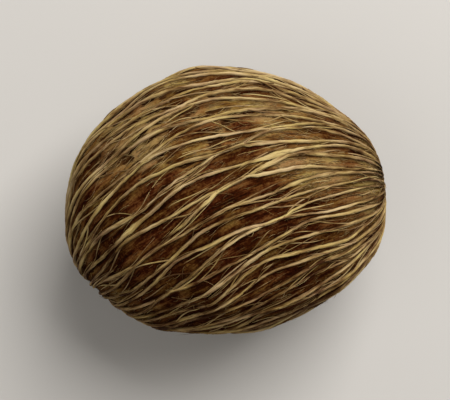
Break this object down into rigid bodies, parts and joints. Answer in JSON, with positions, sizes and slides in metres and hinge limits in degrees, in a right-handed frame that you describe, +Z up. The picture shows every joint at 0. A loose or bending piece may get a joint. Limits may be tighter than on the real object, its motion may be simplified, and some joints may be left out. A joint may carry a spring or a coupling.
{
  "type": "dried sea mango pod",
  "caption": "Dried egg-shaped fibrous seed pod that lies on its side, for bowl fillers, wreaths and natural decoration.",
  "frame": {"origin": "on the surface that the pod lies on, under the middle of its box", "axes": "+X along the pod towards its tip end, +Y across it, +Z up from the surface"},
  "size_m": [0.089, 0.0743, 0.0684],
  "materials": {
    "dry_fibre": "matt dry fibres, tan to golden brown along their crests and darker at their feet",
    "dark_pith": "matt, fine-grained dark red-brown pith between the fibres, with rusty and golden patches"
  },
  "bodies": {
    "root": {"husk": "dry_fibre"}
  },
  "joints": []
}
